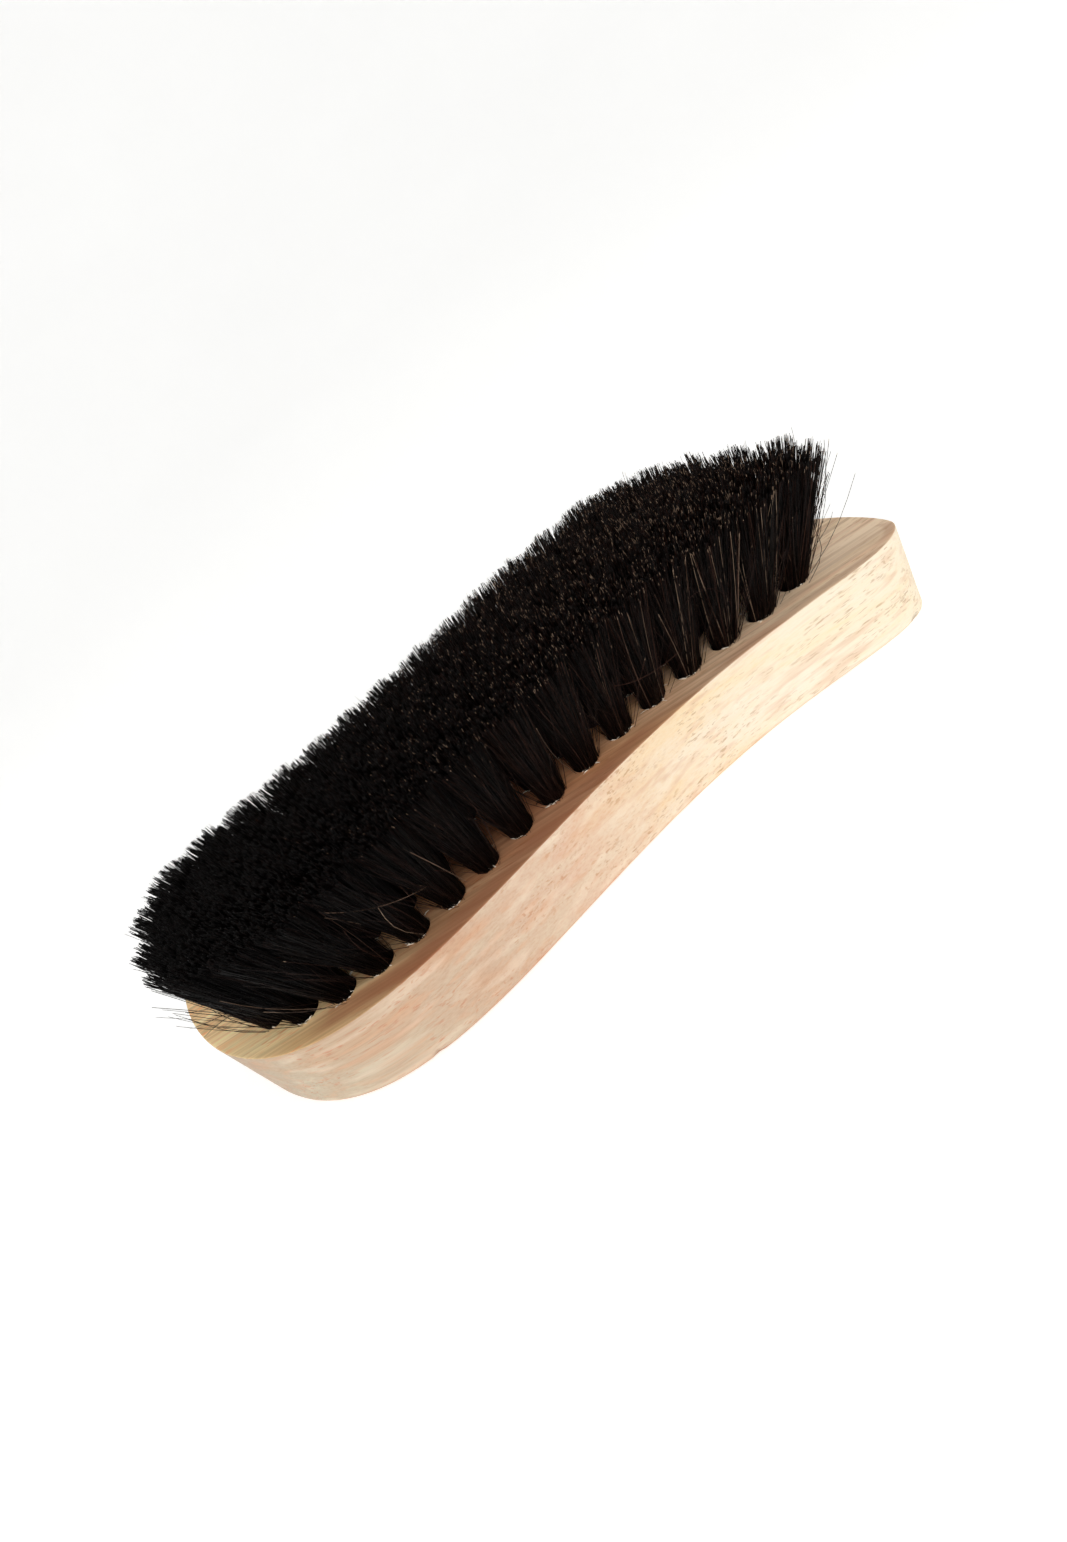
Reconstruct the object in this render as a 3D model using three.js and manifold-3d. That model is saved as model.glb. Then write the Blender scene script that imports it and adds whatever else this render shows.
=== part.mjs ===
// Clothes brush: a flat wooden stock with a wave-shaped plan, bored with blind holes,
// and a tuft of horsehair set in each hole. Millimetres, +Z up.
// The brush lies on its flat back. The origin is the middle of the back face,
// +X runs along the brush and +Z points out of the bristles.

import * as THREE from 'three';
import { mergeVertices } from 'three/addons/utils/BufferGeometryUtils.js';
import Module from 'manifold-3d';

// ---- Driving dimensions ----
const LENGTH = 180;            // stock, end to end
const HALF_LENGTH = LENGTH / 2;
const STOCK_HEIGHT = 20;       // back face to bristle face
const HALF_WIDTH = 27;         // outline's reach to each side of the centre line, along Y
const WAVE = 37;               // size of the S in the centre line
const STOCK_END = { lengthPower: 3.4, roundness: 0.625 };  // how the outline closes at its ends
const BACK_CHAMFER = 1.2;      // eased edge round the back face
const OUTLINE_POINTS = 112;

const BRISTLE_HEIGHT = 25;     // trimmed tips above the bristle face
const HOLE_RADIUS = 2.75;
const HOLE_DEPTH = 12;
const DRILL_POINT = 1.2;       // cone at the bottom of a bored hole
const HOLE_SIDES = 10;
const TUFT_GAP = 0.3;          // between a tuft and its hole, all round
const TUFT_SIDES = 8;
const TUFT_RADIUS = HOLE_RADIUS - TUFT_GAP;

// Rings of tufts, from the edge inwards. foot is the ring's half length and half width on
// the bristle face and tip the same at the trimmed tips, because the bristles lean outwards.
const RINGS = [
  { name: 'edge_tuft', count: 36, joined: 1, foot: [70, 17.6], tip: [72.6, 21], tipRadius: 3.9 },
  { name: 'inner_tufts', count: 30, joined: 2, foot: [61, 8.6], tip: [62.8, 10.3], tipRadius: 4.2 },
];
const CENTRE_ROW = { name: 'centre_tufts', count: 12, joined: 2, foot: 50, tip: 50.8, tipRadius: 4.2 };
const ROWS_MIDDLE = 2.3;       // middle of the bored rows along X
const RING_END = { lengthPower: 5.25, roundness: 0.4 };    // how a ring closes at its ends
const RING_START = 0.92;       // steps from the +X end of a ring to its first tuft
const JOIN_LEAN = 1.2;         // how far the tips of joined tufts lean towards each other

// ---- Materials ----
const wood = new THREE.MeshStandardMaterial({ color: 0xe6d0b0, roughness: 0.62, metalness: 0 });
const horsehair = new THREE.MeshStandardMaterial({ color: 0x1c120d, roughness: 0.5, metalness: 0 });

// ---- Curves ----
function centreLine(x) {
  const u = x / HALF_LENGTH;
  return WAVE * (u - u ** 3);
}

// A closed curve about the centre line, at an angle from its +X end. Its half length is
// measured along X from middle, and its half width to each side of the centre line.
function curvePoint(angle, [halfLength, halfWidth], { lengthPower, roundness }, middle = 0) {
  const u = Math.cos(angle);
  const reach = Math.max(1 - Math.abs(u) ** lengthPower, 0) ** roundness;
  const x = middle + halfLength * u;
  return [x, centreLine(x) + Math.sign(Math.sin(angle)) * halfWidth * reach];
}

function ringPoint(angle, size) {
  return curvePoint(angle, size, RING_END, ROWS_MIDDLE);
}

// Angles that put count tufts at even steps along a ring.
function evenAngles(size, count) {
  const samples = 1440;
  const travelled = [0];
  for (let i = 1; i <= samples; i += 1) {
    const [x0, y0] = ringPoint(((i - 1) / samples) * 2 * Math.PI, size);
    const [x1, y1] = ringPoint((i / samples) * 2 * Math.PI, size);
    travelled.push(travelled[i - 1] + Math.hypot(x1 - x0, y1 - y0));
  }
  const angles = [];
  for (let k = 0; k < count; k += 1) {
    const wanted = (travelled[samples] * (k + RING_START)) / count;
    const i = travelled.findIndex((length) => length >= wanted);
    angles.push((i / samples) * 2 * Math.PI);
  }
  return angles;
}

// ---- Solids ----
// A closed skin through rings of equal point count, listed from the bottom up,
// each ring running anticlockwise seen from above.
function loft(rings) {
  const count = rings[0].length;
  const positions = rings.flat().flat();
  const index = [];
  for (let r = 0; r < rings.length - 1; r += 1) {
    for (let i = 0; i < count; i += 1) {
      const j = (i + 1) % count;
      const [a, b, c, d] = [r * count + i, r * count + j, (r + 1) * count + j, (r + 1) * count + i];
      index.push(a, b, c, a, c, d);
    }
  }
  const top = (rings.length - 1) * count;
  for (const [a, b, c] of capTriangles(rings[0])) index.push(a, c, b);
  for (const [a, b, c] of capTriangles(rings[rings.length - 1])) index.push(top + a, top + b, top + c);
  const geometry = new THREE.BufferGeometry();
  geometry.setAttribute('position', new THREE.Float32BufferAttribute(positions, 3));
  geometry.setIndex(index);
  return geometry;
}

function capTriangles(ring) {
  const flat = ring.map(([x, y]) => new THREE.Vector2(x, y));
  return THREE.ShapeUtils.triangulateShape(flat, []);
}

function circle([x, y], z, radius, sides) {
  return Array.from({ length: sides }, (_, i) => {
    const angle = ((i + 0.5) / sides) * 2 * Math.PI;
    return [x + radius * Math.cos(angle), y + radius * Math.sin(angle), z];
  });
}

const wasm = await Module();
wasm.setup();

function toManifold(geometry) {
  const merged = mergeVertices(geometry);
  return new wasm.Manifold(new wasm.Mesh({
    numProp: 3,
    vertProperties: new Float32Array(merged.attributes.position.array),
    triVerts: new Uint32Array(merged.index.array),
  }));
}

function toGeometry(solid) {
  const { vertProperties, triVerts, numProp } = solid.getMesh();
  const geometry = new THREE.BufferGeometry();
  geometry.setAttribute('position', new THREE.InterleavedBufferAttribute(
    new THREE.InterleavedBuffer(vertProperties, numProp), 3, 0));
  geometry.setIndex(new THREE.Uint32BufferAttribute(triVerts, 1));
  return geometry;
}

// ---- Tuft places ----
// Each place holds a tuft's foot and tip, as points in plan.
function ringPlaces(ring) {
  return evenAngles(ring.foot, ring.count).map((angle) => ({
    foot: ringPoint(angle, ring.foot),
    tip: ringPoint(angle, ring.tip),
  }));
}

function centrePlaces(row) {
  return Array.from({ length: row.count }, (_, i) => {
    const along = (2 * i) / (row.count - 1) - 1;
    const [footX, tipX] = [row.foot, row.tip].map((reach) => ROWS_MIDDLE + reach * along);
    return { foot: [footX, centreLine(footX)], tip: [tipX, centreLine(tipX)] };
  });
}

// ---- Parts ----
function stockBlank() {
  const layer = (inset, z) => Array.from({ length: OUTLINE_POINTS }, (_, i) => {
    const angle = (i / OUTLINE_POINTS) * 2 * Math.PI;
    return [...curvePoint(angle, [HALF_LENGTH - inset, HALF_WIDTH - inset], STOCK_END), z];
  });
  return loft([layer(BACK_CHAMFER, 0), layer(0, BACK_CHAMFER), layer(0, STOCK_HEIGHT)]);
}

function holeCutter({ foot }) {
  const bottom = STOCK_HEIGHT - HOLE_DEPTH;
  return loft([
    circle(foot, bottom - DRILL_POINT, HOLE_RADIUS / 4, HOLE_SIDES),
    circle(foot, bottom, HOLE_RADIUS, HOLE_SIDES),
    circle(foot, STOCK_HEIGHT + 1, HOLE_RADIUS, HOLE_SIDES),
  ]);
}

function stock(places) {
  let solid = toManifold(stockBlank());
  for (const place of places) solid = solid.subtract(toManifold(holeCutter(place)));
  return toGeometry(solid);
}

function tuft({ foot, tip }, tipRadius) {
  return loft([
    circle(foot, STOCK_HEIGHT - HOLE_DEPTH + TUFT_GAP, TUFT_RADIUS - TUFT_GAP, TUFT_SIDES),
    circle(foot, STOCK_HEIGHT, TUFT_RADIUS, TUFT_SIDES),
    circle(tip, STOCK_HEIGHT + BRISTLE_HEIGHT, tipRadius, TUFT_SIDES),
  ]);
}

// Neighbouring tufts whose hair meets above the face are one body.
function joinedTufts(places, tipRadius) {
  const middle = [0, 1].map((axis) => (
    places.reduce((sum, place) => sum + place.tip[axis], 0) / places.length
  ));
  const drawn = places.map(({ foot, tip }) => {
    const reach = Math.hypot(middle[0] - tip[0], middle[1] - tip[1]);
    const share = reach > JOIN_LEAN ? JOIN_LEAN / reach : 0;
    return { foot, tip: tip.map((value, axis) => value + (middle[axis] - value) * share) };
  });
  const solids = drawn.map((place) => toManifold(tuft(place, tipRadius)));
  return toGeometry(solids.reduce((whole, solid) => whole.add(solid)));
}

// ---- Assembly ----
function part(name, geometry, material) {
  const mesh = new THREE.Mesh(geometry, material);
  mesh.name = name;
  return mesh;
}

function tuftParts({ name, joined, tipRadius }, places) {
  const parts = [];
  for (let i = 0; i < places.length; i += joined) {
    const number = String(parts.length + 1).padStart(2, '0');
    const group = places.slice(i, i + joined);
    const geometry = joined === 1 ? tuft(group[0], tipRadius) : joinedTufts(group, tipRadius);
    parts.push(part(`${name}_${number}`, geometry, horsehair));
  }
  return parts;
}

const rows = [...RINGS.map((ring) => [ring, ringPlaces(ring)]), [CENTRE_ROW, centrePlaces(CENTRE_ROW)]];
const brush = new THREE.Group();
brush.add(part('stock', stock(rows.flatMap(([, places]) => places)), wood));
for (const [row, places] of rows) brush.add(...tuftParts(row, places));

export default brush;
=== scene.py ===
"""Looks of a clothes brush: a wave-shaped hardwood stock and tufts of horsehair.

Everything is in the CAD model's frame. Sizes are in millimetres unless they say otherwise.
"""
import math

import bpy
import numpy as np
from mathutils import Matrix, Vector


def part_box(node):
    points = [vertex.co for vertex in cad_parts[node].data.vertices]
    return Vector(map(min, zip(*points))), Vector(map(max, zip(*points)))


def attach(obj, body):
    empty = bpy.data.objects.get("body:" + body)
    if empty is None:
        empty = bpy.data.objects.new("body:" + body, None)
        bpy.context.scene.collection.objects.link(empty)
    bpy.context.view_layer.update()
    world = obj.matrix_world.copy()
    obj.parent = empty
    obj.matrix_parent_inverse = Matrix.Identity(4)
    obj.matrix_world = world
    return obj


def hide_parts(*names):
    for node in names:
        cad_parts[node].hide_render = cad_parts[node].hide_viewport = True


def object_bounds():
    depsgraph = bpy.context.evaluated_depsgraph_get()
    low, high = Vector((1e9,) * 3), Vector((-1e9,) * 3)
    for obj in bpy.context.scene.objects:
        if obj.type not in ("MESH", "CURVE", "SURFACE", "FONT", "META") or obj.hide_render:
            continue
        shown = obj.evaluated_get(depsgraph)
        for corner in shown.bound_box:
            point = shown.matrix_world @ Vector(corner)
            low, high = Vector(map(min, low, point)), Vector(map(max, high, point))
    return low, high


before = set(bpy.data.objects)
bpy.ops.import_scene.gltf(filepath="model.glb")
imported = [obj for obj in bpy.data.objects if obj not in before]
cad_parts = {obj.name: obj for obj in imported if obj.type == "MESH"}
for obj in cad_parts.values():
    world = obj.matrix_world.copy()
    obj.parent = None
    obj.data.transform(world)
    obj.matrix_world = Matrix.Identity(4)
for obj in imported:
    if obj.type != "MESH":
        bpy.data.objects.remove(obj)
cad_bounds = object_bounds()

MM = 0.001

# ---- Stock ----
HALF_LENGTH, _, FACE_Z = np.array(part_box("stock")[1]) / MM
HALF_WIDTH = 27.0              # outline's reach to each side of the centre line
WAVE = 37.0                    # size of the S in the centre line
END_POWER = 3.4                # how the outline closes at its ends
END_ROUNDNESS = 0.625
OUTLINE_POINTS = 460
OUTLINE_SAMPLES = 12001        # places tried along the outline to space its points evenly
FACE_EDGE_RADIUS = 0.3
BACK_EDGE_RADIUS = 1.3
EDGE_STEPS = 5
EDGE_ANGLE = 32                # degrees; folds sharper than this are shaded as edges
SIDE_SHARES = (0.1, 0.15, 0.22, 0.35, 0.55, 0.8)    # heights of the side's rings, closer by the back
FACE_INSETS = (0.9, 1.8, 2.8, 3.9, 5.0)             # rings of points on the face, inside its edge
FACE_SKIN = 0.12               # how far down the side the face's own colour reaches

# ---- Holes ----
HOLE_RADIUS = 2.75
HOLE_DEPTH = 12.0
DRILL_POINT = 1.2              # cone at the bottom of a hole
DRILL_TIP_RADIUS = 0.3
HOLE_SIDES = 28
RIM_CHAMFER = 0.18

# Knocks on the back edge: place, reach and depth.
DENTS = [((-36.3, -38.9, 0.6), 0.9, 0.5), ((-34.6, -38.9, 0.5), 0.6, 0.3), ((85.9, -4.9, 1.0), 0.7, 0.4)]

# ---- Hair ----
# A share of a hair's length, or of a tuft's, runs from 0 at its start to 1 at the trimmed tips.
TRIM_Z = np.array(cad_bounds[1])[2] / MM            # the plane that the tips are cut to
END_SLICE = 0.5                # a CAD tuft's corners this near its end belong to that end
ROOT_Z = FACE_Z - 2.0                               # where the hairs start, inside the hole
HAIRS_PER_TUFT = 700
HAIR_RADIUS = 0.08
HAIR_THICKNESSES = (0.75, 1.2)                      # shares of HAIR_RADIUS, from hair to hair
BLACK_THICKNESS = 1.15         # and by shade: a black hair's share of it
PALE_THINNING = 0.4            # and what a pale hair has less than that
HAIR_TAPER = (1.0, 0.7)        # and along a hair, from its start to its tip
HAIR_SIDES = 3
HAIR_SHARES = np.array([0.0, 0.16, 0.38, 0.60, 0.80, 0.97, 1.0])    # the points along a hair
FOOT_RADIUS = 2.6              # of a tuft where it leaves the face
TIP_RADIUS = 5.8               # and at its tips, where it meets its neighbours
INNER_TIP_RADIUS = 7.2
TANGLE = 0.5                   # how far a hair strays round its tuft on its way up, in radians
INNER_TANGLE = 0.7
WAVINESS = 0.3                 # how far a hair's middle strays sideways
REACH_SPREAD = 0.12            # how much a hair's share of the tuft's radius changes on its way up
SPLAY_POWER = 1.25             # above 1 the tuft widens more towards its tips
CLUMPS_PER_TUFT = 80           # tips that cling together
CLUMP_DRAW = (0.1, 0.6)        # how far a tip is drawn to its clump, as a share of the way
TRIM_SPREAD = 0.35             # how uneven the cut is, for clumps and for hairs
SHORT_HAIRS = 0.12             # the part of the hairs that end below the cut
SHORT_BY = (0.5, 5.0)
CORE_SHARES = (0.0, 0.06, 0.35, 0.62)               # a core's rings; the first is at its hole's bottom
CORE_FILL = 0.72               # a core's radius, as a share of its tuft's
CORE_UNEVENNESS = (0.93, 1.05)                      # shares of that, round a ring
CORE_SIDES = 14
CORE_GAP = 0.4                 # between a core and the bottom of its hole

# ---- Hairs that stand out of the edge tufts ----
FLYAWAYS_PER_TUFT = 24
FLYAWAY_START = (0.8, 1.0)     # shares of FOOT_RADIUS
FLYAWAY_END = (0.9, 1.75)      # shares of TIP_RADIUS
FLYAWAY_RISE = (0.55, 1.0)     # shares of the way from the face to the cut
FLYAWAY_WAVINESS = 0.9
FLYAWAY_SHADES = (0.7, 1.0)

# ---- Lean of the tufts ----
# How far the tips lean along X beyond the CAD tufts' lean, by a tuft's place along X.
FAN_X = (-68, -50, -20, 10, 70)
FAN_LEAN = (-3.2, -3.2, 0.8, 1.7, 4.2)
FAN_OUTWARD = 0.9              # how far away from the centre line
FAN_SPREAD = 0.35              # disorder from tuft to tuft
SIDE_REACH = 10                # a tuft this far from the centre line leans out fully
END_X = 70                     # where the outer tufts stand
END_REACH = 32                 # the stretch at each end where the tips are drawn back into line
LEFT_DRAW = (4.0, 5.0)         # how far at -X, along X and Y, on the side where the end bulges
RIGHT_DRAW = (10.0, 8.0)       # and at +X
LEAST_DRAW = 0.25              # on the other side, as a share of that along Y

# ---- Shade of the hairs, from 0, black, to 1, pale ----
SHADES = (0, 0.97)
OUTER_REACH = 0.85             # hairs further out in their tuft than this share are paler
OUTER_SHADE = 0.08
PAINTED_LIGHT_X = (-70, -20, 20, 70)   # painted light and shade: hairs darker towards -X, browner towards +X
PAINTED_LIGHT_SHIFT = (-0.35, -0.12, 0.06, 0.10)
PALE_SHADE = 0.95              # above this the shade rises more slowly, so that pale hairs are few
PALE_SLOPE = 0.3
LIT_ENDS = (-0.9, 0.4)         # painted highlight: shade that a cut end gains; below 0 it gains none
LIT_X = (-60, 10)              # and the share of that which it gains, along the brush
LIT_SHARE = (0.2, 1.0)

# ---- Small pieces ----
SPLINTERS_PER_HOLE = (7, 12)
SPLINTER_LENGTH = (0.4, 1.5)
SPLINTER_RADIUS = (0.09, 0.2)
SPLINTER_TURN = 0.45           # disorder round the rim, in radians
SPLINTER_HEADING = 0.4         # disorder of the way a splinter points, in radians
SPLINTER_SIDES = 4
SPLINTER_GAP = 0.1             # from the hole's edge to where a splinter starts
SPLINTER_BEND = 0.1            # how far its middle is bent away from the hole
SPLINTER_OUT = 0.3             # how far it leads away from the hole
SPLINTER_ROOT = 0.15           # how deep in the face it starts
SPLINTER_RISE = (0.12, 0.1)    # its middle's height: the least, and a share of its length
SPLINTER_TIP = (0.1, 0.4)      # its end's height
SPLINTER_TAPER = (1.0, 0.8, 0.3)

ANCHOR_REACH = 2.3             # half length of the flat wire that holds a tuft
ANCHOR_WIDTH = 1.3
ANCHOR_THICKNESS = 0.25
ANCHOR_BOW = 0.25              # how far its ends are bent down
ANCHOR_GAP = 0.1               # its middle's height above the cone of the hole
ANCHOR_STEPS = 7
ANCHOR_EDGE_ANGLE = 40         # degrees

STRAY_RADIUS = 0.075
STRAY_SIDES = 5
STRAY_STEPS = 16
STRAY_TAPER = (1.0, 0.6)
# Loose hairs: a few points along each, and its shade from 0, black, to 1, pale.
STRAYS = [
    ([(72.0, 3.6, 20.6), (76.0, 6.2, 20.5), (81.0, 9.6, 20.7), (85.0, 13.3, 21.2)], 0.55),
    ([(70.5, 5.0, 21.5), (79.0, 10.5, 24.0), (81.2, 5.0, 30.0), (79.3, -2.7, 34.0)], 0.80),
    ([(-63.0, -23.0, 21.0), (-69.0, -20.0, 25.0), (-80.5, -13.0, 26.0)], 0.70),
    ([(-63.0, -23.0, 21.0), (-71.5, -19.0, 23.0), (-84.6, -12.0, 22.0)], 0.80),
    ([(-65.0, -22.0, 21.0), (-71.0, -21.0, 22.0), (-79.0, -21.0, 21.0)], 0.50),
    ([(-66.0, -21.0, 22.0), (-73.0, -20.0, 22.4), (-82.0, -17.0, 21.4)], 0.60),
    ([(27.5, -12.3, 33.0), (34.0, -13.6, 30.5), (42.6, -14.0, 31.0)], 0.97),
    ([(46.7, -11.0, 36.0), (50.5, -10.4, 37.0), (53.5, -11.4, 36.0), (54.3, -14.5, 33.0)], 0.94),
    ([(70.0, -0.7, 42.0), (67.0, -0.4, 33.0), (64.0, 2.6, 22.0)], 0.99),
    ([(72.6, -0.6, 43.0), (71.0, -1.5, 36.0), (69.3, -2.9, 27.0)], 0.99),
    ([(13.0, -17.0, 42.0), (9.7, -14.6, 33.0), (9.0, -14.0, 24.0)], 0.99),
    ([(13.4, -16.0, 38.0), (12.7, -14.8, 30.0), (12.0, -13.0, 23.0)], 0.97),
    ([(-13.8, -31.7, 40.0), (-12.6, -29.8, 32.0), (-12.0, -27.0, 23.0)], 0.99),
    ([(-0.8, -24.6, 42.0), (0.0, -21.5, 34.0), (1.0, -19.6, 26.0)], 0.96),
    ([(-30.0, -36.0, 41.0), (-24.0, -33.5, 34.0), (-17.0, -29.5, 29.0)], 0.99),
    ([(33.0, -9.5, 43.0), (31.5, -9.5, 33.0), (33.0, -7.0, 24.0)], 0.98),
    ([(4.4, -14.9, 20.3), (5.6, -15.6, 21.0), (7.4, -16.3, 20.3)], 0.60),
]

# ---- Stage ----
FLOOR_GAP = 0.1                # keeps the floor off the stock's back
FLOOR_SIDES = 64
# The floor's (radius, height) in metres: flat near the brush and rising far away.
FLOOR_PROFILE = [(0.01, 0), (0.3, 0), (0.6, 0), (0.9, 0.02), (1.2, 0.10), (1.5, 0.28), (1.8, 0.62),
                 (2.1, 1.2), (2.4, 2.2)]
# Lights: name, azimuth, elevation, distance and size in metres, watts, and colour.
LIGHTS = [("key", 20, 50, 0.95, 0.5, 2.35, (1.0, 0.985, 0.965)),
          ("fill", -45, 30, 1.2, 0.8, 0.9, (0.97, 0.98, 1.0)),
          ("top", 30, 78, 1.3, 0.9, 1.0, (1.0, 0.99, 0.97))]
WORLD_STRENGTH = 0.2
# The camera: its angles in degrees, the point that it looks at, its distance from there and its lens.
CAMERA_AZIMUTH, CAMERA_ELEVATION, CAMERA_ROLL = 11.9, 33.5, 39.9
CAMERA_TARGET = (2.6, 12.1, 9.0)
CAMERA_DISTANCE = 184
CAMERA_LENS = 18.75

rng = np.random.default_rng(20261117)


# ---------------------------------------------------------------- helpers
def fill_mesh(mesh, points, groups):
    """Fills a mesh with points in millimetres and groups of faces, one array for each face size."""
    sizes = np.concatenate([np.full(len(group), group.shape[1]) for group in groups])
    corners = np.concatenate([group.ravel() for group in groups])
    mesh.vertices.add(len(points))
    mesh.vertices.foreach_set("co", (np.asarray(points) * MM).ravel())
    mesh.loops.add(len(corners))
    mesh.loops.foreach_set("vertex_index", corners)
    mesh.polygons.add(len(sizes))
    mesh.polygons.foreach_set("loop_start", np.r_[0, np.cumsum(sizes)[:-1]])
    mesh.update(calc_edges=True)
    mesh.shade_smooth()


def joined(parts):
    """One list of points and face groups from several (points, groups)."""
    points, groups, start = [], [], 0
    for its_points, its_groups in parts:
        points.append(its_points)
        groups += [group + start for group in its_groups]
        start += len(its_points)
    return np.concatenate(points), groups


def new_piece(name, shape, material):
    """A mesh object in the CAD frame that rides on the brush's one body."""
    mesh = bpy.data.meshes.new(name)
    fill_mesh(mesh, *shape)
    mesh.materials.append(material)
    piece = bpy.data.objects.new(name, mesh)
    bpy.context.scene.collection.objects.link(piece)
    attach(piece, "root")
    return piece


def set_attribute(piece, name, values):
    """A number at each of the piece's points, which its material reads by name."""
    layer = piece.data.attributes.new(name, "FLOAT", "POINT")
    layer.data.foreach_set("value", values)


def skin(rings):
    """Points and faces of a closed skin through rings of equal point count, from the bottom up."""
    count = len(rings[0])
    index = np.arange(len(rings) * count).reshape(len(rings), count)
    beside = np.roll(index, -1, axis=1)
    quads = np.stack([index[:-1], beside[:-1], beside[1:], index[1:]], -1).reshape(-1, 4)
    return np.concatenate(rings), [quads, index[:1, ::-1], index[-1:]]


def turned(profile, centre, sides):
    """A skin of (radius, height) rings round an upright axis."""
    angle = np.arange(sides) * 2 * math.pi / sides
    return skin([np.stack([centre[0] + radius * np.cos(angle), centre[1] + radius * np.sin(angle),
                           np.full(sides, height)], -1) for radius, height in profile])


def polar(reach, turn):
    """Points in plan at distances and angles from the origin."""
    return np.asarray(reach)[..., None] * np.stack([np.cos(turn), np.sin(turn)], -1)


class Nodes:
    """Short calls to build a material's node tree."""

    def __init__(self, name):
        self.material = bpy.data.materials.new(name)
        self.material.use_nodes = True
        self.tree = self.material.node_tree
        self.shader = self.tree.nodes["Principled BSDF"]

    def add(self, kind, settings=None, **inputs):
        node = self.tree.nodes.new(kind)
        for key, value in (settings or {}).items():
            setattr(node, key, value)
        for key, value in inputs.items():
            self.put(node.inputs[key.replace("_", " ")], value)
        return node

    def put(self, socket, value):
        if isinstance(value, bpy.types.NodeSocket):
            self.tree.links.new(value, socket)
        else:
            socket.default_value = value

    def math(self, operation, a, b=0.0, c=0.0, clamp=False):
        node = self.add("ShaderNodeMath", {"operation": operation, "use_clamp": clamp})
        for socket, value in zip(node.inputs, (a, b, c)):
            self.put(socket, value)
        return node.outputs[0]

    def ramp(self, factor, stops):
        """A colour, or with single numbers a value, from stops of (position, colour)."""
        node = self.add("ShaderNodeValToRGB", Fac=factor)
        elements = node.color_ramp.elements
        while len(elements) < len(stops):
            elements.new(0.5)
        for element, (position, colour) in zip(elements, stops):
            element.position = position
            element.color = (*(colour if isinstance(colour, tuple) else (colour,) * 3), 1.0)
        return node.outputs["Color"]

    def mix(self, factor, a, b, blend="MIX"):
        node = self.add("ShaderNodeMix", {"data_type": "RGBA", "blend_type": blend})
        self.put(node.inputs["Factor"], factor)
        self.put(node.inputs["A"], a if isinstance(a, bpy.types.NodeSocket) else (*a, 1.0))
        self.put(node.inputs["B"], b if isinstance(b, bpy.types.NodeSocket) else (*b, 1.0))
        return node.outputs["Result"]

    def place(self):
        return self.add("ShaderNodeTexCoord").outputs["Object"]

    def coordinate(self, axis):
        """Place along one axis, in millimetres."""
        split = self.add("ShaderNodeSeparateXYZ", Vector=self.place())
        return self.math("MULTIPLY", split.outputs[axis], 1 / MM)

    def stretched(self, lengths, shift=0.0):
        """Object coordinates divided by lengths, in millimetres, along X, Y and Z."""
        scale = tuple(1 / (length * MM) for length in lengths)
        mapping = self.add("ShaderNodeMapping", Vector=self.place(), Scale=scale,
                           Location=(shift, shift, shift))
        return mapping.outputs["Vector"]

    def noise(self, lengths, detail=3.0, roughness=0.5, distortion=0.0, shift=0.0):
        node = self.add("ShaderNodeTexNoise", Vector=self.stretched(lengths, shift), Scale=1.0,
                        Detail=detail, Roughness=roughness, Distortion=distortion)
        return node.outputs["Fac"]

    def attribute(self, name):
        return self.add("ShaderNodeAttribute", {"attribute_name": name}).outputs["Fac"]

    def bump(self, height, strength, distance_mm):
        node = self.add("ShaderNodeBump", Height=height, Strength=strength, Distance=distance_mm * MM)
        return node.outputs["Normal"]


def linear(red, green, blue):
    """Linear colour from 0 to 255 display numbers."""
    def one(value):
        value /= 255
        return value / 12.92 if value <= 0.04045 else ((value + 0.055) / 1.055) ** 2.4
    return one(red), one(green), one(blue)


# ---------------------------------------------------------------- materials
def along_brush(n):
    """Place along X, from 0 at the stock's -X end to 1 at its +X end."""
    return n.math("MULTIPLY_ADD", n.coordinate("X"), 0.5 / HALF_LENGTH, 0.5)


def wood_colour(n):
    """Cream wood, pinker and darker towards -X, the darkening partly painted shade, with growth bands
    and fine fibres along X.
    """
    # The pink towards -X is the wood's own. The darkening there is partly painted shade, for light that
    # falls off towards -X.
    base = n.ramp(along_brush(n), [(0.02, linear(176, 158, 138)), (0.17, linear(197, 180, 156)),
                                   (0.40, linear(202, 174, 150)), (0.52, linear(218, 186, 162)),
                                   (0.66, linear(238, 216, 188)), (0.84, linear(246, 231, 208)),
                                   (1.0, linear(244, 230, 206))])
    bands = n.noise((150, 8, 7), detail=2.0, distortion=0.5)
    base = n.mix(0.8, base, n.ramp(bands, [(0.34, (0.50, 0.42, 0.37)), (0.5, (0.5, 0.49, 0.48)),
                                           (0.66, (0.52, 0.56, 0.56))]), "OVERLAY")
    fibres = n.noise((30, 0.4, 0.4), detail=4.0, roughness=0.6)
    base = n.mix(0.55, base, n.ramp(fibres, [(0.3, (0.40, 0.36, 0.33)), (0.5, (0.5, 0.5, 0.5)),
                                             (0.7, (0.58, 0.58, 0.57))]), "OVERLAY")
    streaks = n.ramp(n.noise((34, 1.8, 1.6), detail=2.0, shift=3.7), [(0.52, 0.0), (0.70, 0.42)])
    base = n.mix(n.math("MULTIPLY", streaks, lengthwise(n)), base, linear(216, 168, 134))
    pale = n.ramp(n.noise((60, 3.0, 2.6), detail=1.5, shift=14.9), [(0.50, 0.0), (0.72, 0.3)])
    base = n.mix(n.math("MULTIPLY", pale, lengthwise(n)), base, linear(248, 236, 214))
    return base, fibres


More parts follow.
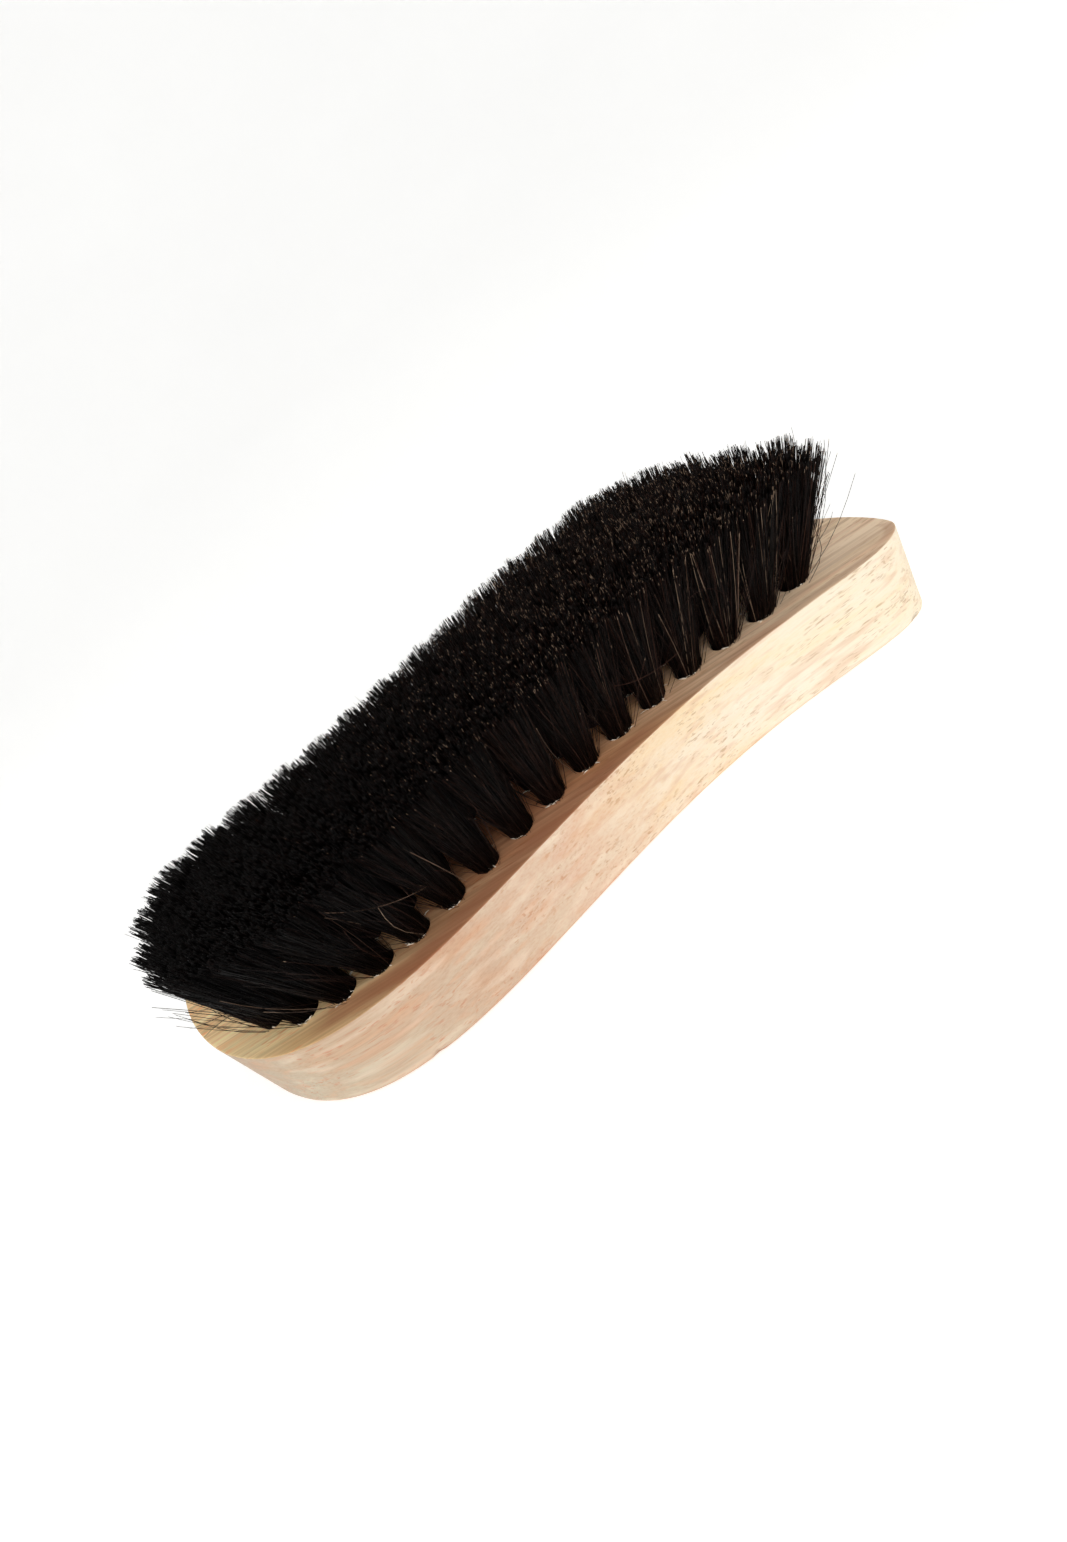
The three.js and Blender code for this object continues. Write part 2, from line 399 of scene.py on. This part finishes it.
def facing(n, axis):
    """1 where the surface faces along an axis, either way, and 0 where it runs along it."""
    normal = n.add("ShaderNodeSeparateXYZ", Vector=n.add("ShaderNodeNewGeometry").outputs["Normal"])
    return n.math("ABSOLUTE", normal.outputs[axis])


def lengthwise(n):
    """1 where the surface runs along the grain, falling towards the end grain."""
    return n.ramp(facing(n, "X"), [(0.45, 1.0), (0.85, 0.3)])


def wood_flecks(n):
    """Short pores that run along X, in loose drifts. They are small dots on the end grain."""
    small = n.ramp(n.noise((3.2, 0.42, 0.42), detail=1.5, shift=8.1), [(0.61, 0.0), (0.68, 0.8)])
    large = n.ramp(n.noise((5.5, 0.75, 0.75), detail=2.0, shift=11.3), [(0.60, 0.0), (0.70, 1.0)])
    drifts = n.ramp(n.noise((18, 6, 6), detail=1.0, shift=5.3), [(0.42, 0.15), (0.58, 1.0)])
    large = n.math("MULTIPLY", large, lengthwise(n))
    return n.math("MULTIPLY", n.math("MAXIMUM", small, large), drifts)


def between(n, value, low, high, soft):
    """1 where value lies between low and high, fading out over soft at both ends."""
    up = n.math("MULTIPLY_ADD", value, 1 / soft, 1 - low / soft, clamp=True)
    down = n.math("MULTIPLY_ADD", value, -1 / soft, 1 + high / soft, clamp=True)
    return n.math("MULTIPLY", up, down)


def face_shade_and_bands(n, on_face):
    """Brown bands on the bristle face: painted shade of the tufts along its near edge, and a straight
    one by the -X bulge.
    """
    x, y, inset = n.coordinate("X"), n.coordinate("Y"), n.attribute("inset")
    near_side = n.math("LESS_THAN", y, n.attribute("centre"))
    # Painted shade: the tufts' shadow on the strip between their feet and the near edge, strongest in
    # the middle.
    edge = n.math("MULTIPLY", between(n, inset, 0.0, 3.0, 1.5), between(n, x, -24, 26, 18))
    corner = n.math("MULTIPLY", between(n, inset, 0.0, 1.6, 0.8), between(n, x, 10, 87, 12))
    edge = n.math("MAXIMUM", edge, n.math("MULTIPLY", corner, 0.6))
    straight = n.math("MULTIPLY", between(n, y, -36.8, -34.0, 1.2), between(n, x, -46, -24, 6))
    bands = n.math("MULTIPLY", n.math("MAXIMUM", edge, straight), n.math("MULTIPLY", on_face, near_side))
    uneven = n.ramp(n.noise((30, 2.5, 2.5), detail=2.0, shift=1.9), [(0.3, 0.4), (0.6, 1.0)])
    return n.math("MULTIPLY", bands, uneven)


def face_colour(n, base):
    """The bristle face: brownish, painted shade in the middle and painted light at the ends, darker
    grain lines and brown bands.
    """
    on_face = n.math("GREATER_THAN", n.coordinate("Z"), FACE_Z - FACE_SKIN)
    # Painted light and shade: the face is darker in the middle, where the tufts and the low light shade
    # it, and lighter at its ends.
    face_tone_and_shade = n.ramp(along_brush(n), [(0.0, (2.05, 2.0, 1.5)), (0.2, (1.5, 1.45, 1.1)),
                                  (0.36, (0.80, 0.58, 0.42)), (0.6, (0.78, 0.53, 0.40)),
                                  (0.85, (1.0, 0.88, 0.80))])
    lines = n.noise((45, 0.9, 0.9), detail=3.0, shift=21.7)
    grain = n.ramp(lines, [(0.36, (0.80, 0.75, 0.71)), (0.60, (1.05, 1.05, 1.04))])
    tinted = n.mix(1.0, base, n.mix(1.0, face_tone_and_shade, grain, "MULTIPLY"), "MULTIPLY")
    base = n.mix(on_face, base, tinted)
    # The bands' brown: painted shade along the near edge, and the straight band by the -X bulge.
    return n.mix(n.math("MULTIPLY", face_shade_and_bands(n, on_face), 0.65), base, linear(176, 114, 82))


def back_edge_colour(n, base):
    """A darker line round the eased back edge, and dark knocks in it."""
    low = n.ramp(n.math("MULTIPLY", n.coordinate("Z"), 0.1), [(0.02, 1.0), (0.14, 0.0)])
    off_back = n.ramp(facing(n, "Z"), [(0.85, 0.4), (0.98, 0.0)])
    base = n.mix(n.math("MULTIPLY", low, off_back), base, linear(206, 134, 96))
    return n.mix(n.math("MULTIPLY", n.attribute("dent"), 0.8), base, linear(96, 60, 40))


def wood_material():
    """Pale hardwood, with its grain along X."""
    n = Nodes("pale_wood")
    base, fibres = wood_colour(n)
    flecks = wood_flecks(n)
    fleck_colour = n.ramp(along_brush(n), [(0.3, linear(196, 124, 92)), (0.7, linear(184, 142, 98))])
    base = n.mix(n.math("MULTIPLY", flecks, 0.6), base, fleck_colour)
    base = back_edge_colour(n, face_colour(n, base))

    n.put(n.shader.inputs["Base Color"], base)
    n.put(n.shader.inputs["Roughness"], n.math("MULTIPLY_ADD", fibres, 0.25, 0.45))
    n.shader.inputs["Specular IOR Level"].default_value = 0.3
    relief = n.math("SUBTRACT", fibres, n.math("MULTIPLY", flecks, 0.8))
    n.put(n.shader.inputs["Normal"], n.bump(relief, 0.35, 0.12))
    return n.material


def splinter_material():
    """Freshly torn wood, paler than the sanded face."""
    n = Nodes("torn_wood")
    fibres = n.noise((1.2, 0.2, 0.2), detail=2.0)
    n.put(n.shader.inputs["Base Color"],
          n.ramp(fibres, [(0.3, linear(236, 216, 190)), (0.7, linear(253, 246, 234))]))
    n.put(n.shader.inputs["Roughness"], n.math("MULTIPLY_ADD", fibres, 0.2, 0.6))
    n.put(n.shader.inputs["Normal"], n.bump(fibres, 0.3, 0.05))
    return n.material


def horsehair_material():
    """Black-brown hair: each hair has its own shade, black to brown, a few pale, with painted light and
    highlights in it.
    """
    n = Nodes("horsehair")
    shade = n.attribute("shade")
    colour = n.ramp(shade, [(0.0, linear(4, 3, 3)), (0.5, linear(13, 8, 7)), (0.78, linear(30, 18, 15)),
                            (0.94, linear(42, 25, 20)), (0.985, linear(80, 53, 43)),
                            (1.0, linear(178, 154, 132))])
    along = n.noise((1.6, 1.6, 5.0), detail=2.0)
    tone = n.ramp(along, [(0.3, linear(170, 160, 155)), (0.7, (1.0, 1.0, 1.0))])
    n.put(n.shader.inputs["Base Color"], n.mix(1.0, colour, tone, "MULTIPLY"))
    n.put(n.shader.inputs["Roughness"], n.math("MULTIPLY_ADD", shade, 0.2, 0.34))
    n.shader.inputs["Specular IOR Level"].default_value = 0.1
    n.put(n.shader.inputs["Normal"], n.bump(n.noise((0.25, 0.25, 0.6)), 0.25, 0.03))
    return n.material


def wire_material():
    """Drawn steel wire, slightly dull, with fine lines along it."""
    n = Nodes("anchor_wire")
    lines = n.noise((4.0, 0.15, 0.15), detail=3.0)
    n.put(n.shader.inputs["Base Color"],
          n.ramp(lines, [(0.3, linear(128, 124, 118)), (0.7, linear(176, 172, 166))]))
    n.shader.inputs["Metallic"].default_value = 1.0
    n.put(n.shader.inputs["Roughness"], n.math("MULTIPLY_ADD", lines, 0.25, 0.3))
    n.put(n.shader.inputs["Normal"], n.bump(lines, 0.2, 0.02))
    return n.material


# ---------------------------------------------------------------- stock
def centre_line(x):
    """The middle of the wave-shaped plan, as Y at places along X."""
    u = x / HALF_LENGTH
    return WAVE * (u - u ** 3)


def plan_curve(angle, inset=0.0):
    """Points of the stock's plan at angles from its +X end, drawn in by inset."""
    u = np.cos(angle)
    x = (HALF_LENGTH - inset) * u
    reach = np.maximum(1 - np.abs(u) ** END_POWER, 0) ** END_ROUNDNESS
    return np.stack([x, centre_line(x) + (HALF_WIDTH - inset) * np.sign(np.sin(angle)) * reach], -1)


def outline_angles():
    """Angles that put OUTLINE_POINTS at even steps round the stock."""
    angle = np.linspace(0, 2 * math.pi, OUTLINE_SAMPLES)
    step = np.diff(plan_curve(angle), axis=0)
    travelled = np.r_[0, np.cumsum(np.hypot(*step.T))]
    at = np.linspace(0, travelled[-1], OUTLINE_POINTS, endpoint=False)
    return np.interp(at, travelled, angle)


def edge_profile():
    """(inset, height) pairs from the back face, up the side, to the bristle face."""
    turn = np.linspace(0, math.pi / 2, EDGE_STEPS)
    back = [(BACK_EDGE_RADIUS * (1 - math.sin(a)), BACK_EDGE_RADIUS * (1 - math.cos(a))) for a in turn]
    side = [(0.0, FACE_Z * share) for share in SIDE_SHARES]
    face = [(FACE_EDGE_RADIUS * (1 - math.cos(a)), FACE_Z - FACE_EDGE_RADIUS * (1 - math.sin(a)))
            for a in turn]
    return back + side + face + [(inset, FACE_Z) for inset in FACE_INSETS]


def stock_blank():
    """The stock before it is bored, with its knocks."""
    angles = outline_angles()
    points, groups = skin([np.c_[plan_curve(angles, inset), np.full(OUTLINE_POINTS, height)]
                           for inset, height in edge_profile()])
    for place, reach, depth in DENTS:
        inward = np.array([0.0, centre_line(place[0]) - place[1], FACE_Z - place[2]])
        push = depth * inward / np.linalg.norm(inward)
        points = points + nearness(points, place, reach)[:, None] * push
    return points, groups


def nearness(points, place, reach):
    """1 at place, falling to nothing a few times reach away."""
    return np.exp(-((points - place) ** 2).sum(1) / reach ** 2)


def hole_cutter(foot):
    """A drill's shape, with a slight chamfer at the rim."""
    bottom, rim_radius = FACE_Z - HOLE_DEPTH, HOLE_RADIUS + RIM_CHAMFER
    return turned([(DRILL_TIP_RADIUS, bottom - DRILL_POINT), (HOLE_RADIUS, bottom),
                   (HOLE_RADIUS, FACE_Z - RIM_CHAMFER), (rim_radius, FACE_Z), (rim_radius, FACE_Z + 1)],
                  foot, HOLE_SIDES)


def build_stock(feet, material):
    """The bored stock, with the measures that its material reads."""
    piece = new_piece("wooden_stock", stock_blank(), material)
    drills_mesh = bpy.data.meshes.new("drills")
    fill_mesh(drills_mesh, *joined(hole_cutter(foot) for foot in feet))
    drills = bpy.data.objects.new("drills", drills_mesh)
    bpy.context.scene.collection.objects.link(drills)
    cut = piece.modifiers.new("drill", "BOOLEAN")
    cut.operation, cut.solver, cut.object = "DIFFERENCE", "EXACT", drills
    depsgraph = bpy.context.evaluated_depsgraph_get()
    bored = bpy.data.meshes.new_from_object(piece.evaluated_get(depsgraph), depsgraph=depsgraph)
    piece.modifiers.clear()
    piece.data = bored
    bpy.data.objects.remove(drills)
    bored.shade_smooth()
    bored.set_sharp_from_angle(angle=math.radians(EDGE_ANGLE))
    points = mesh_points(bored)
    set_attribute(piece, "inset", distance_inside(points[:, :2]))
    set_attribute(piece, "centre", centre_line(points[:, 0]))
    set_attribute(piece, "dent", sum(nearness(points, place, reach) for place, reach, depth in DENTS))
    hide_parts("stock")


def distance_inside(points):
    """How far points in plan are from the stock's outline."""
    outline = plan_curve(outline_angles())
    return np.array([np.hypot(*(outline - point).T).min() for point in points])


def mesh_points(mesh):
    """A mesh's points, in millimetres."""
    flat = np.empty(len(mesh.vertices) * 3)
    mesh.vertices.foreach_get("co", flat)
    return flat.reshape(-1, 3) / MM


# ---------------------------------------------------------------- hair
def halves(points, direction):
    """points split in two by which side of their middle they lie on, along direction."""
    along = points @ direction
    middle = (along.min() + along.max()) / 2
    return [points[along < middle], points[along >= middle]]


def tuft_places(name):
    """(foot, tip) in plan of each tuft that a CAD node holds, from the node's own corners.

    A pair's tufts lean towards each other in CAD. Here both take the pair's mean lean.
    """
    points = mesh_points(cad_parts[name].data)
    low = points[points[:, 2] < points[:, 2].min() + END_SLICE][:, :2]
    top = points[points[:, 2] > TRIM_Z - END_SLICE][:, :2]
    if "_tufts_" not in name:
        return [(low.mean(0), top.mean(0))]
    direction = np.linalg.svd(low - low.mean(0), full_matrices=False)[2][0]
    lean = top.mean(0) - low.mean(0)
    return [(foot.mean(0), foot.mean(0) + lean) for foot in halves(low, direction)]


def tubes(paths, radii, sides):
    """Closed thin tubes along paths (hairs, points, 3), with radii (hairs, points)."""
    hairs, steps, _ = paths.shape
    # A ring's first direction is at right angles to X, or to Y where the tube runs nearly along X.
    tangent = np.gradient(paths, axis=1)
    tangent /= np.linalg.norm(tangent, axis=2)[..., None]
    reference = np.where(np.abs(tangent[..., :1]) < 0.8, [[[1.0, 0, 0]]], [[[0, 1.0, 0]]])
    across = np.cross(tangent, reference)
    across /= np.linalg.norm(across, axis=2)[..., None]
    other = np.cross(tangent, across)
    angle = rng.uniform(0, 2 * math.pi, (hairs, 1, 1)) + np.arange(sides) * 2 * math.pi / sides
    ring = across[:, :, None] * np.cos(angle)[..., None] + other[:, :, None] * np.sin(angle)[..., None]
    points = paths[:, :, None] + ring * radii[:, :, None, None]
    index = np.arange(hairs * steps * sides).reshape(hairs, steps, sides)
    beside = np.roll(index, -1, axis=2)
    quads = np.stack([index[:, :-1], beside[:, :-1], beside[:, 1:], index[:, 1:]], -1).reshape(-1, 4)
    ends = np.concatenate([index[:, 0, ::-1], index[:, -1]])
    return points.reshape(-1, 3), [quads, ends]


def fan(foot):
    """How far a tuft's tips lean beyond the CAD tuft's, with a little disorder."""
    side = np.clip((foot[1] - centre_line(foot[0])) / SIDE_REACH, -1, 1)
    end = np.sign(foot[0]) * np.clip(1 - (END_X - abs(foot[0])) / END_REACH, 0, 1)
    bulge = (side * np.sign(end) + 1) / 2
    draw = RIGHT_DRAW if end > 0 else LEFT_DRAW
    along = np.interp(foot[0], FAN_X, FAN_LEAN) - draw[0] * end * bulge
    across = FAN_OUTWARD * side - draw[1] * end * (LEAST_DRAW + (1 - LEAST_DRAW) * bulge)
    return np.array([along, across]) + rng.normal(0, FAN_SPREAD, 2)


def clumped(end, tip_radius):
    """Moves that draw the tips at end together, and the heights that they are cut to."""
    count = len(end)
    clumps = tip_radius * polar(np.sqrt(rng.uniform(0, 1, CLUMPS_PER_TUFT)),
                                rng.uniform(0, 2 * math.pi, CLUMPS_PER_TUFT))
    nearest = ((end[:, None] - clumps) ** 2).sum(2).argmin(1)
    gather = rng.uniform(*CLUMP_DRAW, (count, 1)) * (clumps[nearest] - end)
    drop = np.abs(rng.normal(0, TRIM_SPREAD, CLUMPS_PER_TUFT))
    height = TRIM_Z - drop[nearest] - np.abs(rng.normal(0, TRIM_SPREAD, count))
    short = rng.uniform(0, 1, count) < SHORT_HAIRS
    return gather, height - short * rng.uniform(*SHORT_BY, count)


def hair_paths(foot, tip, tip_radius, tangle, count):
    """Centre lines and shades of a tuft's hairs, from inside its hole to the trimmed tips."""
    share = HAIR_SHARES[None, :, None]
    reach = np.sqrt(rng.uniform(0.0, 1.0, count))
    turn = rng.uniform(0, 2 * math.pi, count)
    start = FOOT_RADIUS * polar(reach, turn)
    end_reach = np.abs(reach + rng.normal(0, REACH_SPREAD, count))
    end = tip_radius * polar(end_reach, turn + rng.normal(0, tangle, count))
    gather, height = clumped(end, tip_radius)

    splay = share ** SPLAY_POWER
    plan = foot + (tip - foot) * share + start[:, None] * (1 - splay) + end[:, None] * splay
    plan = plan + gather[:, None] * share ** 3
    plan = plan + rng.normal(0, WAVINESS, (count, 1, 2)) * np.sin(math.pi * share)
    rise = ROOT_Z + (height[:, None, None] - ROOT_Z) * share
    shade = rng.uniform(*SHADES, count) + OUTER_SHADE * (end_reach > OUTER_REACH)
    # Painted light and shade: hairs darker towards -X and browner towards +X, as the light falls on
    # them.
    shade = shade + np.interp(foot[0], PAINTED_LIGHT_X, PAINTED_LIGHT_SHIFT)
    shade = np.where(shade < PALE_SHADE, shade, PALE_SHADE + PALE_SLOPE * (shade - PALE_SHADE))
    return np.concatenate([plan, rise], axis=2), shade


def flyaway_paths(foot, tip, count):
    """Centre lines and shades of hairs that stand out of a tuft and cross its neighbours."""
    share = HAIR_SHARES[None, :, None]
    turn = rng.uniform(0, 2 * math.pi, count)
    start = FOOT_RADIUS * polar(rng.uniform(*FLYAWAY_START, count), turn)
    end = TIP_RADIUS * polar(rng.uniform(*FLYAWAY_END, count), turn + rng.normal(0, TANGLE, count))
    height = FACE_Z + (TRIM_Z - FACE_Z) * rng.uniform(*FLYAWAY_RISE, count)
    plan = foot + (tip - foot) * share + start[:, None] * (1 - share) + end[:, None] * share
    plan = plan + rng.normal(0, FLYAWAY_WAVINESS, (count, 1, 2)) * np.sin(math.pi * share)
    rise = ROOT_Z + (height[:, None, None] - ROOT_Z) * share
    return np.concatenate([plan, rise], axis=2), rng.uniform(*FLYAWAY_SHADES, count)


def core(foot, tip):
    """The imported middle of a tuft, which no light gets through."""
    rings = []
    for share in CORE_SHARES:
        centre = foot + (tip - foot) * share
        radius = (FOOT_RADIUS + (TIP_RADIUS - FOOT_RADIUS) * share) * CORE_FILL
        height = FACE_Z + (TRIM_Z - FACE_Z) * share if share else FACE_Z - HOLE_DEPTH + CORE_GAP
        angle = np.arange(CORE_SIDES) * 2 * math.pi / CORE_SIDES
        ring = centre + radius * polar(rng.uniform(*CORE_UNEVENNESS, CORE_SIDES), angle)
        rings.append(np.c_[ring, np.full(CORE_SIDES, height)])
    return skin(rings)


def build_tuft(foot, tip, at_edge):
    """Meshes of a tuft's hairs and core, with the shade of each of their points."""
    tip_radius, tangle = (TIP_RADIUS, TANGLE) if at_edge else (INNER_TIP_RADIUS, INNER_TANGLE)
    paths, shade = hair_paths(foot, tip, tip_radius, tangle, HAIRS_PER_TUFT)
    if at_edge:
        more, more_shade = flyaway_paths(foot, tip, FLYAWAYS_PER_TUFT)
        paths, shade = np.concatenate([paths, more]), np.concatenate([shade, more_shade])
    # Hairs thin towards their tips, and pale hairs are the thinnest.
    thickness = BLACK_THICKNESS - PALE_THINNING * shade[:, None]
    taper = np.linspace(*HAIR_TAPER, len(HAIR_SHARES)) * thickness
    radii = taper * HAIR_RADIUS * rng.uniform(*HAIR_THICKNESSES, (len(paths), 1))
    hairs = tubes(paths, radii, HAIR_SIDES)
    # Some cut ends are painted paler, a painted highlight where they catch the light, more strongly
    # towards +X.
    lit = np.zeros_like(taper)
    lit[:, -1] = rng.uniform(*LIT_ENDS, len(paths)).clip(0) * np.interp(foot[0], LIT_X, LIT_SHARE)
    middle = core(foot, tip)
    hair_shade = np.repeat((shade[:, None] + lit).ravel(), HAIR_SIDES)
    return [hairs, middle], [hair_shade, np.zeros(len(middle[0]))]


def build_tufts(node, material):
    """The hair that replaces a CAD node's tufts."""
    parts, shades = [], []
    for foot, tip in tuft_places(node):
        its_parts, its_shades = build_tuft(foot, tip + fan(foot), "edge" in node)
        parts += its_parts
        shades += its_shades
    piece = new_piece("hair_" + node, joined(parts), material)
    set_attribute(piece, "shade", np.concatenate(shades))
    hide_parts(node)


# ---------------------------------------------------------------- small pieces
def smooth_path(corners, steps):
    """Points on a smooth curve through a few corners."""
    corners = np.array(corners, float)
    at = np.linspace(0, len(corners) - 1, steps)
    degree = min(3, len(corners) - 1)
    curve = np.polynomial.polynomial.polyfit(range(len(corners)), corners, degree)
    return np.polynomial.polynomial.polyval(at, curve).T


def build_stray_hairs(material):
    """Loose hairs that lie on the face or stand across the tufts."""
    paths = np.array([smooth_path(corners, STRAY_STEPS) for corners, shade in STRAYS])
    radii = np.linspace(*STRAY_TAPER, STRAY_STEPS) * np.full((len(STRAYS), 1), STRAY_RADIUS)
    piece = new_piece("stray_hairs", tubes(paths, radii, STRAY_SIDES), material)
    shade = [shade for corners, shade in STRAYS]
    set_attribute(piece, "shade", np.repeat(shade, STRAY_STEPS * STRAY_SIDES))


def build_splinters(feet, material):
    """Wood fibres along the grain that the drill raised, mostly at the two Y sides of a hole's rim."""
    paths = []
    for foot in feet:
        count = rng.integers(*SPLINTERS_PER_HOLE)
        turn = rng.choice([-1, 1], count) * math.pi / 2 + rng.normal(0, SPLINTER_TURN, count)
        outwards = polar(np.ones(count), turn)
        start = foot + (HOLE_RADIUS + SPLINTER_GAP) * outwards
        heading = rng.choice([0, math.pi], count) + rng.normal(0, SPLINTER_HEADING, count)
        length = rng.uniform(*SPLINTER_LENGTH, count)
        end = start + polar(length, heading) + SPLINTER_OUT * outwards
        heights = np.stack([np.full(count, FACE_Z - SPLINTER_ROOT),
                            FACE_Z + SPLINTER_RISE[0] + SPLINTER_RISE[1] * length,
                            FACE_Z + rng.uniform(*SPLINTER_TIP, count)], -1)
        plan = np.stack([start, (start + end) / 2 + SPLINTER_BEND * outwards, end], 1)
        paths.append(np.concatenate([plan, heights[..., None]], axis=2))
    paths = np.concatenate(paths)
    radii = np.array(SPLINTER_TAPER) * rng.uniform(*SPLINTER_RADIUS, (len(paths), 1))
    new_piece("rim_splinters", tubes(paths, radii, SPLINTER_SIDES), material)


def anchor(foot):
    """A flat wire across the bottom of a hole, its ends bent down over the fold of the hair."""
    across = np.linspace(-1, 1, ANCHOR_STEPS)
    height = FACE_Z - HOLE_DEPTH + ANCHOR_GAP - ANCHOR_BOW * across ** 2
    rings = []
    for u, low in zip(across, height):
        x = foot[0] + u * ANCHOR_REACH
        near, far = foot[1] - ANCHOR_WIDTH / 2, foot[1] + ANCHOR_WIDTH / 2
        high = low + ANCHOR_THICKNESS
        rings.append([(x, near, low), (x, far, low), (x, far, high), (x, near, high)])
    return skin(np.array(rings))


def build_anchors(feet, material):
    """The flat wire anchors, one at the bottom of each hole."""
    piece = new_piece("tuft_anchors", joined(anchor(foot) for foot in feet), material)
    piece.data.set_sharp_from_angle(angle=math.radians(ANCHOR_EDGE_ANGLE))


# ---------------------------------------------------------------- stage
def build_floor():
    """A wide pale dish just below the brush, so that no horizon shows."""
    profile = [(radius / MM, height / MM - FLOOR_GAP) for radius, height in FLOOR_PROFILE]
    points, (dish, middle, _) = turned(profile, (0, 0), FLOOR_SIDES)
    mesh = bpy.data.meshes.new("floor")
    fill_mesh(mesh, points, [dish, middle])
    mesh.flip_normals()
    n = Nodes("pale_floor")
    n.put(n.shader.inputs["Base Color"],
          n.ramp(n.noise((400, 400, 400)), [(0.3, (0.90, 0.90, 0.89)), (0.7, (0.93, 0.93, 0.92))]))
    n.shader.inputs["Roughness"].default_value = 0.9
    n.shader.inputs["Specular IOR Level"].default_value = 0.1
    n.shader.inputs["Emission Color"].default_value = (1, 1, 1, 1)
    n.shader.inputs["Emission Strength"].default_value = 0.4
    mesh.materials.append(n.material)
    floor = bpy.data.objects.new("floor", mesh)
    bpy.context.scene.collection.objects.link(floor)


def towards(azimuth, elevation):
    """Unit vector from the brush towards an azimuth and elevation in degrees; azimuth 0 is -Y."""
    az, el = math.radians(azimuth), math.radians(elevation)
    return Vector((math.sin(az) * math.cos(el), -math.cos(az) * math.cos(el), math.sin(el)))


def area_light(name, azimuth, elevation, distance, size, watts, colour):
    """A round soft light that faces the brush. Distance and size are in metres."""
    light = bpy.data.lights.new(name, "AREA")
    light.shape, light.size, light.energy, light.color = "DISK", size, watts, colour
    lamp = bpy.data.objects.new(name, light)
    lamp.location = towards(azimuth, elevation) * distance
    lamp.rotation_euler = towards(azimuth, elevation).to_track_quat("Z", "Y").to_euler()
    bpy.context.scene.collection.objects.link(lamp)


def build_lights():
    """Plain soft studio light."""
    for light in LIGHTS:
        area_light(*light)
    world = bpy.data.worlds.new("studio")
    world.use_nodes = True
    background = world.node_tree.nodes["Background"]
    background.inputs["Color"].default_value = (1.0, 0.995, 0.98, 1)
    background.inputs["Strength"].default_value = WORLD_STRENGTH
    bpy.context.scene.world = world


def build_camera():
    """Looks down on the brush from its front, rolled so that the brush climbs to the right."""
    away = towards(CAMERA_AZIMUTH, CAMERA_ELEVATION)
    right = (-away).cross(Vector((0, 0, 1))).normalized()
    up = right.cross(-away)
    axes = Matrix((right, up, away)).transposed()
    rolled = axes @ Matrix.Rotation(-math.radians(CAMERA_ROLL), 3, "Z")
    place = Vector(CAMERA_TARGET) * MM + away * CAMERA_DISTANCE * MM
    camera = bpy.data.cameras.new("camera")
    camera.lens = CAMERA_LENS
    camera.clip_start = 0.01
    holder = bpy.data.objects.new("camera", camera)
    holder.matrix_world = Matrix.Translation(place) @ rolled.to_4x4()
    bpy.context.scene.collection.objects.link(holder)
    bpy.context.scene.camera = holder


# ---------------------------------------------------------------- the brush
tuft_nodes = sorted(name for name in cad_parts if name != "stock")
feet = [foot for name in tuft_nodes for foot, tip in tuft_places(name)]
build_stock(feet, wood_material())
horsehair = horsehair_material()
for name in tuft_nodes:
    build_tufts(name, horsehair)
build_stray_hairs(horsehair)
build_splinters(feet, splinter_material())
build_anchors(feet, wire_material())

build_floor()
build_lights()
build_camera()
bpy.context.scene.view_settings.view_transform = "Standard"
